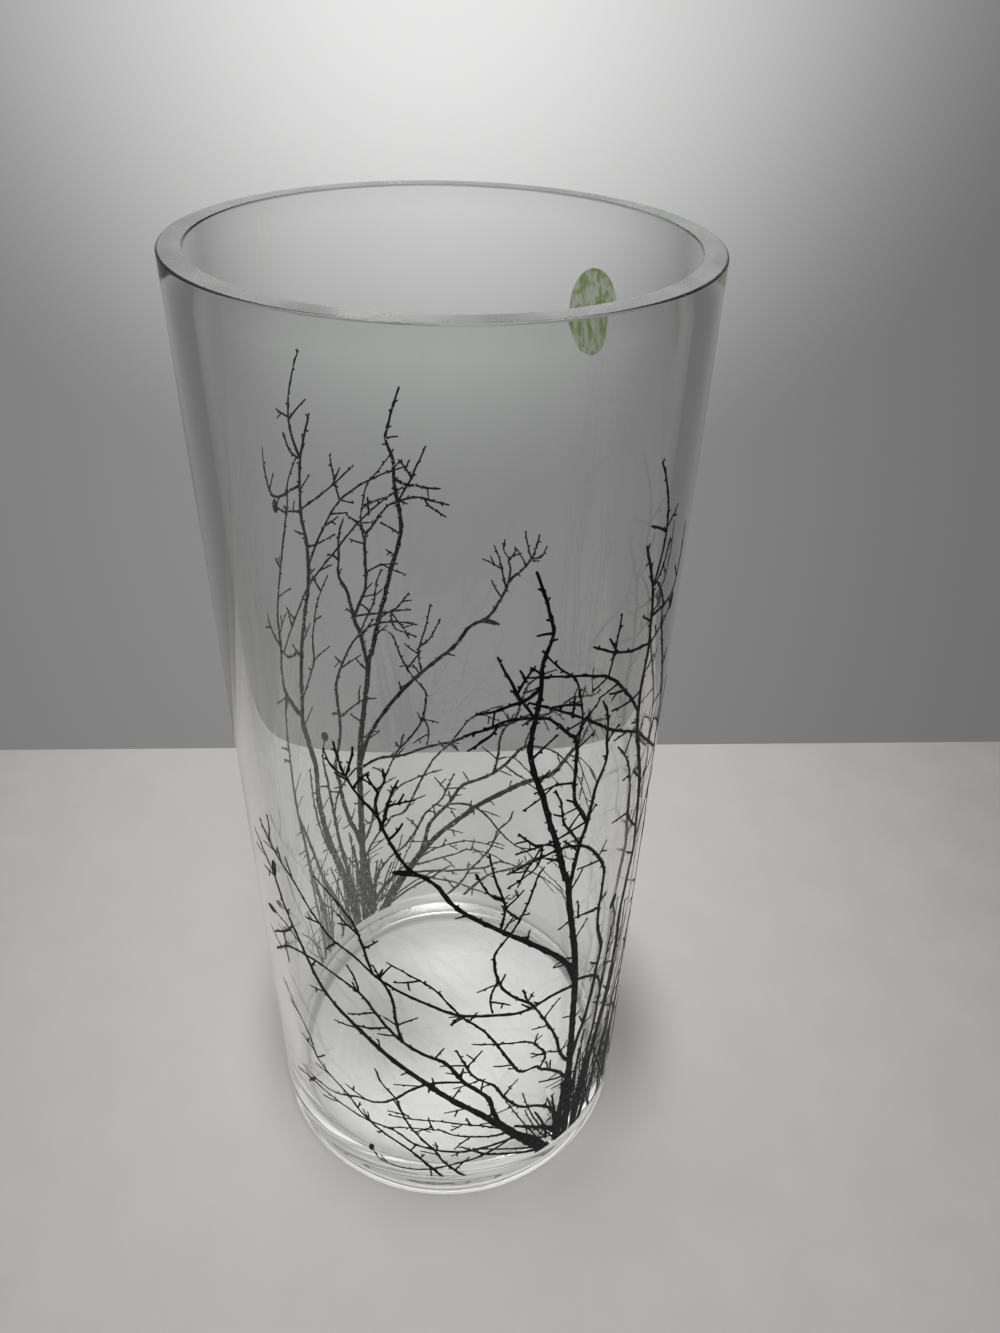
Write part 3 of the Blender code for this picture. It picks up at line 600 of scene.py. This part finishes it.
def label_material():
    """Thin pale paper with a plain mottled green, which lets some of the light behind it through."""
    material, tree, shader = new_material("label_paper")
    shader.inputs["IOR"].default_value = PAPER_IOR
    shader.inputs["Transmission Weight"].default_value = PAPER_TRANSMISSION
    mottle = range_node(tree, noise_node(tree, *MOTTLE_NOISE), *MOTTLE_RANGE)
    tree.links.new(mix_node(tree, mottle, PAPER_GREEN, PAPER_PALE), shader.inputs["Base Color"])
    fibres = noise_node(tree, *FIBRE_NOISE)
    tree.links.new(range_node(tree, fibres, *FIBRE_ROUGHNESS), shader.inputs["Roughness"])
    tree.links.new(bump_node(tree, fibres, FIBRE_BUMP), shader.inputs["Normal"])
    return material


def floor_material():
    """A pale sheet with the faintest grain, painted light and shade, painted soft shadows round the
    foot, and painted light in white under it.
    """
    material, tree, shader = new_material("pale_floor")
    place = tree.nodes.new("ShaderNodeTexCoord").outputs["Object"]
    # Painted light: the floor is pale in a pool round the vase and darker far off
    sheet = mix_node(tree, dome_node(tree, place, *FLOOR_LIGHT_POOL), FLOOR_PAINTED_DIM, FLOOR_PAINTED_LIT)
    grain = range_node(tree, noise_node(tree, *FLOOR_GRAIN), *GRAIN_RANGE)
    sheet = mix_node(tree, grain, sheet, GRAIN_FLECK_AND_FOOT_LIGHT)
    shade = range_node(tree, dome_node(tree, place, *SHADE_PATCH), *SHADE_RANGE)
    sheet = mix_node(tree, shade, sheet, FLOOR_SHADE)
    for patch in FOOT_PATCHES:
        sheet = mix_node(tree, patch_node(tree, place, *patch), sheet, FOOT_SHADOW)
    # Painted light: white under the foot, with a painted soft shade in it
    under = range_node(tree, dome_node(tree, place, *FOOT_LIGHT_PATCH), *FOOT_LIGHT_RANGE)
    foot_light = mix_node(tree, patch_node(tree, place, *UNDER_PATCH), GRAIN_FLECK_AND_FOOT_LIGHT, UNDER_SHADE)
    tree.links.new(mix_node(tree, under, sheet, foot_light), shader.inputs["Base Color"])
    shader.inputs["Roughness"].default_value = FLOOR_ROUGHNESS
    shader.inputs["Specular IOR Level"].default_value = FLOOR_SPECULAR
    return material


# The glass

def arc(centre, radius, first, last):
    """Points of a rounded corner in the (radius, height) plane, angles in degrees."""
    turns = [math.radians(first + (last - first) * step / ARC_STEPS) for step in range(ARC_STEPS + 1)]
    return [(centre[0] + radius * math.cos(turn), centre[1] + radius * math.sin(turn)) for turn in turns]


def straight(start, end):
    """Points between two ends of the wall, without the ends."""
    points = []
    for step in range(1, WALL_RINGS):
        share = step / WALL_RINGS
        points.append((start[0] + (end[0] - start[0]) * share, start[1] + (end[1] - start[1]) * share))
    return points


def glass_profile():
    """The half section in three runs: up the inside, over the rim, and down to the foot's middle."""
    inner = OUTER_RADIUS - WALL
    corner_centre = (inner - INNER_CORNER_RADIUS, FLOOR_THICKNESS + INNER_CORNER_RADIUS)
    floor_edge = (corner_centre[0], FLOOR_THICKNESS)
    dish = [
        (floor_edge[0] * step / ARC_STEPS, FLOOR_THICKNESS - FLOOR_DISH * (1 - (step / ARC_STEPS) ** 2))
        for step in range(ARC_STEPS)
    ]
    inside = dish + arc(corner_centre, INNER_CORNER_RADIUS, -90, 0)
    inside += straight(inside[-1], (inner, HEIGHT - RIM_ROUND))
    rim = arc((inner + RIM_ROUND, HEIGHT - RIM_ROUND), RIM_ROUND, 180, 90)
    rim += arc((OUTER_RADIUS - RIM_ROUND, HEIGHT - RIM_ROUND), RIM_ROUND, 90, 0)
    heel = arc((OUTER_RADIUS - HEEL_RADIUS, HEEL_RADIUS), HEEL_RADIUS, 0, -90)
    outside = straight(rim[-1], heel[0]) + heel
    foot_inner = OUTER_RADIUS - HEEL_RADIUS - FOOT_WIDTH
    recess_edge = foot_inner - FOOT_RECESS * FOOT_SLOPE
    foot = [(foot_inner, 0.0), (recess_edge, FOOT_RECESS), (0.0, FOOT_RECESS)]
    return inside, rim, outside + foot


def uneven(radius, height, turn, inside):
    """A point of the profile, moved by the slight waves if it is on one of the inner surfaces."""
    if not inside:
        return radius, height
    x, y = math.cos(turn), math.sin(turn)
    if height > FLOOR_THICKNESS + INNER_CORNER_RADIUS:
        wave = noise.noise(Vector((x * INNER_WAVE_TURN, y * INNER_WAVE_TURN, height * INNER_WAVE_RISE)))
        return radius + wave * INNER_WAVE, height
    flat = (radius * x * FLOOR_WAVE_SCALE, radius * y * FLOOR_WAVE_SCALE, FLOOR_WAVE_LAYER)
    return radius, height + noise.noise(Vector(flat)) * FLOOR_WAVE


def make_glass():
    """The turned glass: one ring of points for each point of the profile, and one point at each pole."""
    inside, rim, outside = glass_profile()
    profile = inside + rim + outside
    # The ground band is the flat of the rim and the last step of the corner inside it
    rim_rings = range(len(inside) + ARC_STEPS - 1, len(inside) + ARC_STEPS + 2)
    points = []
    rings = []
    for place, (radius, height) in enumerate(profile):
        count = GLASS_SIDES if radius > 0 else 1
        rings.append(range(len(points), len(points) + count))
        for side in range(count):
            turn = math.tau * side / GLASS_SIDES
            reach, level = uneven(radius, height, turn, place < len(inside) - 1)
            points.append((reach * math.cos(turn), reach * math.sin(turn), level))
    faces = []
    rim_faces = []
    for place, (lower, upper) in enumerate(zip(rings, rings[1:])):
        for side in range(GLASS_SIDES):
            beside = (side + 1) % GLASS_SIDES
            face = [upper[side % len(upper)], upper[beside % len(upper)]]
            face += [lower[beside % len(lower)], lower[side % len(lower)]]
            if place in rim_rings and place + 1 in rim_rings:
                rim_faces.append(len(faces))
            faces.append(list(dict.fromkeys(face)))
    vase = mesh_piece("vase_glass", points, faces, smooth=True)
    for number in rim_faces:
        vase.data.polygons[number].material_index = 1
    finish_piece(vase, "glass_vase", [glass_material(), rim_material()])


# The print

def sheet_point(turn, height):
    """A place on the wall laid out flat: distance round the wall and height, in millimetres."""
    return Vector((math.radians(turn) * OUTER_RADIUS / MM, height))


def stem_length(route):
    return sum((end - start).length for start, end in zip(route, route[1:]))


def point_along(route, distance):
    """The place at a distance along a route, and the direction of the route there."""
    for start, end in zip(route, route[1:]):
        step = (end - start).length
        if distance <= step:
            return start.lerp(end, distance / step), (end - start).normalized()
        distance -= step
    return route[-1], (route[-1] - route[-2]).normalized()


def turned(direction, degrees):
    return Vector((direction.x, direction.y)) @ Matrix.Rotation(math.radians(-degrees), 2)


def smooth_route(route):
    """A curve through the points of a route, with a point at about every step."""
    ends = [route[0] * 2 - route[1]] + route + [route[-1] * 2 - route[-2]]
    curve = []
    for before, start, end, after in zip(ends, ends[1:], ends[2:], ends[3:]):
        count = max(1, round((end - start).length / ROUTE_STEP))
        for step in range(count):
            share = step / count
            slope = (end - before) * share
            bend = (before * 2 - start * 5 + end * 4 - after) * share ** 2
            twist = (start * 3 - before - end * 3 + after) * share ** 3
            curve.append((start * 2 + slope + bend + twist) / 2)
    curve.append(route[-1])
    return curve


def stem_pieces(number, root_width, tip_width, coarse, draw):
    """A stem that wavers along its route, thins towards its tip and swells at its knots."""
    route = smooth_route(coarse)
    whole = stem_length(route)
    knots = []
    place = draw.uniform(*KNOT_SPACING)
    while place < whole:
        knots.append((place, draw.uniform(*KNOT_SIZE), draw.choice((-1, 1))))
        place += draw.uniform(*KNOT_SPACING)
    travelled = 0.0
    points = []
    widths = []
    for before, point, after in zip([route[0]] + route, route, route[1:] + [route[-1]]):
        travelled += (point - before).length
        along = (after - before).normalized()
        waver_place = Vector((travelled / WAVER_LENGTH, number * WAVER_APART, WAVER_LAYER))
        swell_place = Vector((travelled / SWELL_LENGTH, number * SWELL_APART, SWELL_LAYER))
        waver = noise.noise(waver_place) * WAVER_REACH
        width = tip_width + (root_width - tip_width) * (1 - min(travelled / whole, 1.0)) ** TAPER
        width *= 1 + SWELL_REACH * noise.noise(swell_place)
        for knot, size, side in knots:
            bulge = size * math.exp(-((travelled - knot) / KNOT_LENGTH) ** 2)
            width += bulge
            waver += side * bulge / 2
        points.append(point + Vector((-along.y, along.x)) * waver)
        widths.append(width)
    return ribbon(points, widths)


def ribbon(points, widths):
    """The flat pieces of a stem: one with four corners for each step, and a rounded tip."""
    left = []
    right = []
    for place, point in enumerate(points):
        along = (points[min(place + 1, len(points) - 1)] - points[max(place - 1, 0)]).normalized()
        across = Vector((-along.y, along.x)) * widths[place] / 2
        left.append(point + across)
        right.append(point - across)
    pieces = []
    for place in range(len(points) - 1):
        pieces.append([right[place], right[place + 1], left[place + 1], left[place]])
    radius = right[-1] - points[-1]
    tip = [points[-1] + turned(radius, 180 * step / TIP_SIDES) for step in range(TIP_SIDES + 1)]
    pieces.append(tip)
    return pieces


def twig_route(root, direction, reach, bend):
    """A short route that bends evenly from its root, which is sunk into what it grows from."""
    point = root - direction * TWIG_SUNK
    route = [point]
    for step in range(TWIG_STEPS):
        point = point + turned(direction, bend * step / TWIG_STEPS) * (reach + TWIG_SUNK) / TWIG_STEPS
        route.append(point)
    return route


def twig_widths(width, tip):
    return [width + (tip - width) * step / TWIG_STEPS for step in range(TWIG_STEPS + 1)]


def twig_pieces(root, direction, reach, width, tip, draw):
    """A twig with its buds, and with a smaller twig forking from it where the draw says so."""
    bend = draw.uniform(*TWIG_BEND)
    route = twig_route(root, direction, reach, bend)
    widths = twig_widths(width, tip)
    pieces = ribbon(route, widths)
    pieces += bud_pieces(route, widths[-1], draw)
    if draw.random() < FORK_CHANCE and reach > SIDE_LENGTH[0] * FORK_LEAST:
        share = draw.uniform(*FORK_SHARE)
        fork_root, along = point_along(route, reach * share)
        lean = draw.choice((-1, 1)) * draw.uniform(*SIDE_LEAN)
        fork = twig_route(fork_root, turned(along, lean), reach * (1 - share) * FORK_REACH, -bend)
        pieces += ribbon(fork, twig_widths(width * FORK_WIDTH, tip))
    return pieces


def bud_pieces(route, width, draw):
    """Small blunt buds that stand off a route, on one side and then the other."""
    whole = stem_length(route)
    travelled = draw.uniform(*BUD_SPACING)
    side = draw.choice((-1, 1))
    pieces = []
    while travelled < whole:
        root, along = point_along(route, travelled)
        away = turned(along, side * draw.uniform(*BUD_LEAN))
        across = Vector((-away.y, away.x))
        end = root + away * (width / 2 + draw.uniform(*BUD_LENGTH))
        foot = root - away * width * BUD_SUNK
        pieces.append([
            foot - across * BUD_WIDTH / 2, end - across * BUD_TIP / 2,
            end + across * BUD_TIP / 2, foot + across * BUD_WIDTH / 2])
        side = -side
        travelled += draw.uniform(*BUD_SPACING)
    return pieces


def main_twigs(stems, draw):
    """The frame's twigs, at the places and with the leans of the same draws, each as a finer twig."""
    main_draw = random.Random(TWIG_SEED)
    pieces = []
    for _, _, route in stems:
        whole = stem_length(route)
        travelled = main_draw.uniform(*TWIG_FIRST)
        side = main_draw.choice((-1, 1))
        while travelled < whole - TWIG_END_MARGIN:
            root, along = point_along(route, travelled)
            lean = side * main_draw.uniform(*TWIG_LEAN)
            reach = main_draw.uniform(*TWIG_LENGTH)
            if root.y > TWIG_LOWEST:
                pieces += twig_pieces(root, turned(along, lean), reach, TWIG_WIDTH, TWIG_TIP, draw)
            side = -side
            travelled += main_draw.uniform(*TWIG_SPACING)
    return pieces


def side_twigs(stems, draw):
    """Smaller twigs between the main ones, further apart high up."""
    pieces = []
    for _, _, route in stems:
        whole = stem_length(route)
        travelled = draw.uniform(*SIDE_SPACING)
        side = draw.choice((-1, 1))
        while travelled < whole - SIDE_END_MARGIN:
            root, along = point_along(route, travelled)
            direction = turned(along, side * draw.uniform(*SIDE_LEAN))
            reach = draw.uniform(*SIDE_LENGTH)
            pieces += twig_pieces(root, direction, reach, SIDE_WIDTH, SIDE_TIP, draw)
            side = -side
            sparse = SPARSE_SPREAD if root.y > SPARSE_ABOVE else 1.0
            travelled += draw.uniform(*SIDE_SPACING) * sparse
    return pieces


def root_shoots(draw):
    """Short shoots that fan out of the roots. Those that lean more are shorter."""
    pieces = []
    for count, feet, middle, spread in SHOOT_GROUPS:
        for _ in range(count):
            foot_turn = draw.uniform(*feet)
            lean = (middle - foot_turn) * spread + draw.gauss(0, SHOOT_SCATTER)
            lean = max(-SHOOT_LEAN, min(SHOOT_LEAN, lean))
            foot = sheet_point(foot_turn, draw.uniform(*SHOOT_HEIGHT))
            direction = turned(Vector((0, 1)), lean)
            width = draw.uniform(*SHOOT_WIDTH)
            reach = draw.uniform(*SHOOT_LENGTH) * math.cos(math.radians(lean))
            pieces += twig_pieces(foot, direction, reach, width, width * SHOOT_TIP, draw)
    return pieces


def oval(centre, length, width, tilt):
    """The outline of an oval leaf, tilted from upright, in anticlockwise order."""
    outline = []
    for step in range(LEAF_SIDES):
        angle = math.tau * step / LEAF_SIDES
        point = Vector((math.cos(angle) * width / 2, math.sin(angle) * length / 2))
        outline.append(centre + turned(point, -tilt))
    return outline


def print_pieces():
    """Every convex piece of the flat print."""
    draw = random.Random(FINE_SEED)
    stems = [
        (root_width, tip_width, [sheet_point(*place) for place in route])
        for root_width, tip_width, route in STEMS.values()
    ]
    pieces = []
    for number, (root_width, tip_width, route) in enumerate(stems):
        pieces += stem_pieces(number, root_width, tip_width, route, draw)
        pieces += bud_pieces(smooth_route(route), (root_width + tip_width) / 2, draw)
    pieces += main_twigs(stems, draw)
    pieces += side_twigs(stems, draw)
    pieces += root_shoots(draw)
    for turn, height, length, width, tilt in LEAVES:
        pieces.append(oval(sheet_point(turn, height), length, width, tilt))
    return pieces


def cut_level(outline, height):
    """The part of a convex outline that lies above a height."""
    kept = []
    for start, end in zip(outline, outline[1:] + outline[:1]):
        if start.y >= height:
            kept.append(start)
        if (start.y >= height) != (end.y >= height):
            kept.append(start.lerp(end, (height - start.y) / (end.y - start.y)))
    return kept


def lookup_cells(low, high):
    """The cells of the lookup grid that a box touches."""
    columns = range(math.floor(low.x / LOOKUP_CELL), math.floor(high.x / LOOKUP_CELL) + 1)
    rows = range(math.floor(low.y / LOOKUP_CELL), math.floor(high.y / LOOKUP_CELL) + 1)
    return [(column, row) for column in columns for row in rows]


def is_inside(point, hull):
    """Whether a point lies in a convex outline that runs anticlockwise."""
    return all((end - start).cross(point - start) >= 0 for start, end in zip(hull, hull[1:] + hull[:1]))


def fuse_flat(outlines):
    """One flat mesh of triangles that covers everything inside the hulls of the outlines once."""
    points = []
    edges = []
    cells = {}
    for outline in outlines:
        hull = [outline[corner] for corner in convex_hull_2d(outline)] if len(outline) > 2 else []
        if len(hull) > 2:
            first = len(points)
            points += hull
            edges += [(first + place, first + (place + 1) % len(hull)) for place in range(len(hull))]
            low = Vector((min(point.x for point in hull), min(point.y for point in hull)))
            high = Vector((max(point.x for point in hull), max(point.y for point in hull)))
            for cell in lookup_cells(low, high):
                cells.setdefault(cell, []).append(hull)
    fused_points, _, fused_faces = delaunay_2d_cdt(points, edges, [], 0, MERGE_DISTANCE)[:3]
    triangles = []
    for face in fused_faces:
        middle = sum((fused_points[corner] for corner in face), Vector((0, 0))) / len(face)
        nearby = cells.get(lookup_cells(middle, middle)[0], [])
        if any(is_inside(middle, hull) for hull in nearby):
            triangles.append(list(face))
    return fused_points, triangles


def wall_point(flat, radius):
    turn = flat.x * MM / OUTER_RADIUS
    return Vector((radius * math.sin(turn), -radius * math.cos(turn), flat.y * MM))


def film_piece(name, flat_points, triangles, above):
    """A thin closed film round the wall: the flat mesh outside and inside, joined along its borders."""
    used = sorted({corner for triangle in triangles for corner in triangle})
    order = {corner: place for place, corner in enumerate(used)}
    outer = [wall_point(flat_points[corner], OUTER_RADIUS + above) for corner in used]
    inner = [wall_point(flat_points[corner], OUTER_RADIUS - FILM_BELOW) for corner in used]
    count = len(used)
    faces = []
    borders = set()
    for triangle in triangles:
        corners = [order[corner] for corner in triangle]
        faces.append(corners)
        faces.append([corner + count for corner in reversed(corners)])
        borders |= set(zip(corners, corners[1:] + corners[:1]))
    for start, end in sorted(borders):
        if (end, start) not in borders:
            faces.append((end, start, start + count, end + count))
    return mesh_piece(name, outer + inner, faces)


def finish_print(film, node, enamel):
    """Gives a film its two finishes: the second is on the faces that look at the vase's axis."""
    finish_piece(film, node, enamel)
    for face in film.data.polygons:
        outward = face.normal.x * face.center.x + face.normal.y * face.center.y
        face.material_index = 1 if outward < 0 else 0


def make_prints():
    """The print on the near side, and the same print again on the far side."""
    enamel = [enamel_material(), bond_material()]
    points, triangles = fuse_flat([cut_level(outline, FILM_LOWEST) for outline in print_pieces()])
    near = film_piece("print_near", points, triangles, FILM_ABOVE)
    finish_print(near, "branch_print_front", enamel)
    start = sheet_point(COPY_TURN, COPY_RISE)
    moved = [start + Vector((point.x * COPY_SPREAD, point.y * COPY_STRETCH)) for point in points]
    far = film_piece("print_far", moved, triangles, FILM_ABOVE)
    finish_print(far, "branch_print_back", enamel)


def make_label():
    """An oval label, laid out in rings so that it follows the wall."""
    centre = sheet_point(LABEL_TURN, LABEL_HEIGHT)
    points = [centre]
    triangles = []
    for ring in range(1, LABEL_RINGS + 1):
        for side in range(LABEL_SIDES):
            angle = math.tau * side / LABEL_SIDES
            edge = Vector((math.cos(angle) * LABEL_WIDTH / 2, math.sin(angle) * LABEL_LENGTH / 2))
            points.append(centre + edge * ring / LABEL_RINGS)
    for side in range(LABEL_SIDES):
        beside = (side + 1) % LABEL_SIDES
        triangles.append([0, 1 + side, 1 + beside])
        for ring in range(LABEL_RINGS - 1):
            inner = 1 + ring * LABEL_SIDES
            outer = inner + LABEL_SIDES
            triangles.append([inner + side, outer + side, outer + beside])
            triangles.append([inner + side, outer + beside, inner + beside])
    label = film_piece("wall_label", points, triangles, LABEL_ABOVE)
    finish_piece(label, "label", [label_material()])


# The studio

def make_floor():
    corners = [
        (-STAGE_HALF_WIDTH, STAGE_FRONT, -STAGE_DROP), (STAGE_HALF_WIDTH, STAGE_FRONT, -STAGE_DROP),
        (STAGE_HALF_WIDTH, STAGE_EDGE, -STAGE_DROP), (-STAGE_HALF_WIDTH, STAGE_EDGE, -STAGE_DROP)]
    floor = mesh_piece("floor", corners, [(0, 1, 2, 3)])
    floor.data.materials.append(floor_material())


def make_world():
    """Soft light all round: a glow behind, a wide patch overhead and a brighter one above the front."""
    world = bpy.data.worlds.new("studio")
    bpy.context.scene.world = world
    world.use_nodes = True
    tree = world.node_tree
    background = tree.nodes["Background"]
    direction = tree.nodes.new("ShaderNodeTexCoord").outputs["Generated"]
    total = SKY_BASE
    for strength, middle, reach in SKY_PATCHES:
        dome = dome_node(tree, direction, middle, reach)
        total = math_node(tree, "MULTIPLY_ADD", dome, strength, total)
    background.inputs["Color"].default_value = (*SKY_COLOUR, 1.0)
    tree.links.new(total, background.inputs["Strength"])


def make_camera():
    camera = link(bpy.data.objects.new("camera", bpy.data.cameras.new("camera")))
    camera.data.sensor_width = SENSOR
    camera.data.lens = SENSOR * FOCAL_PIXELS / FRAME_HEIGHT
    camera.data.clip_start = CLIP_START
    look = Vector((
        math.sin(CAMERA_YAW) * math.cos(CAMERA_PITCH),
        math.cos(CAMERA_YAW) * math.cos(CAMERA_PITCH),
        -math.sin(CAMERA_PITCH)))
    level = look.cross(Vector((0, 0, 1))).normalized()
    above = level.cross(look)
    right = level * math.cos(CAMERA_ROLL) + above * math.sin(CAMERA_ROLL)
    up = above * math.cos(CAMERA_ROLL) - level * math.sin(CAMERA_ROLL)
    turn = Matrix((right, up, -look)).transposed().to_4x4()
    camera.matrix_world = Matrix.Translation((0, -CAMERA_BACK, CAMERA_HEIGHT)) @ turn
    bpy.context.scene.camera = camera


def set_light_paths():
    """Lets the light that the floor gets through the clear glass count in full."""
    cycles = bpy.context.scene.cycles
    cycles.blur_glossy = 0.0
    cycles.sample_clamp_indirect = 0.0
    cycles.max_bounces = LIGHT_BOUNCES
    cycles.transmission_bounces = LIGHT_BOUNCES
    cycles.glossy_bounces = LIGHT_BOUNCES


make_camera()
make_glass()
make_prints()
make_label()
make_floor()
make_world()
set_light_paths()
bpy.context.scene.view_settings.view_transform = "Standard"
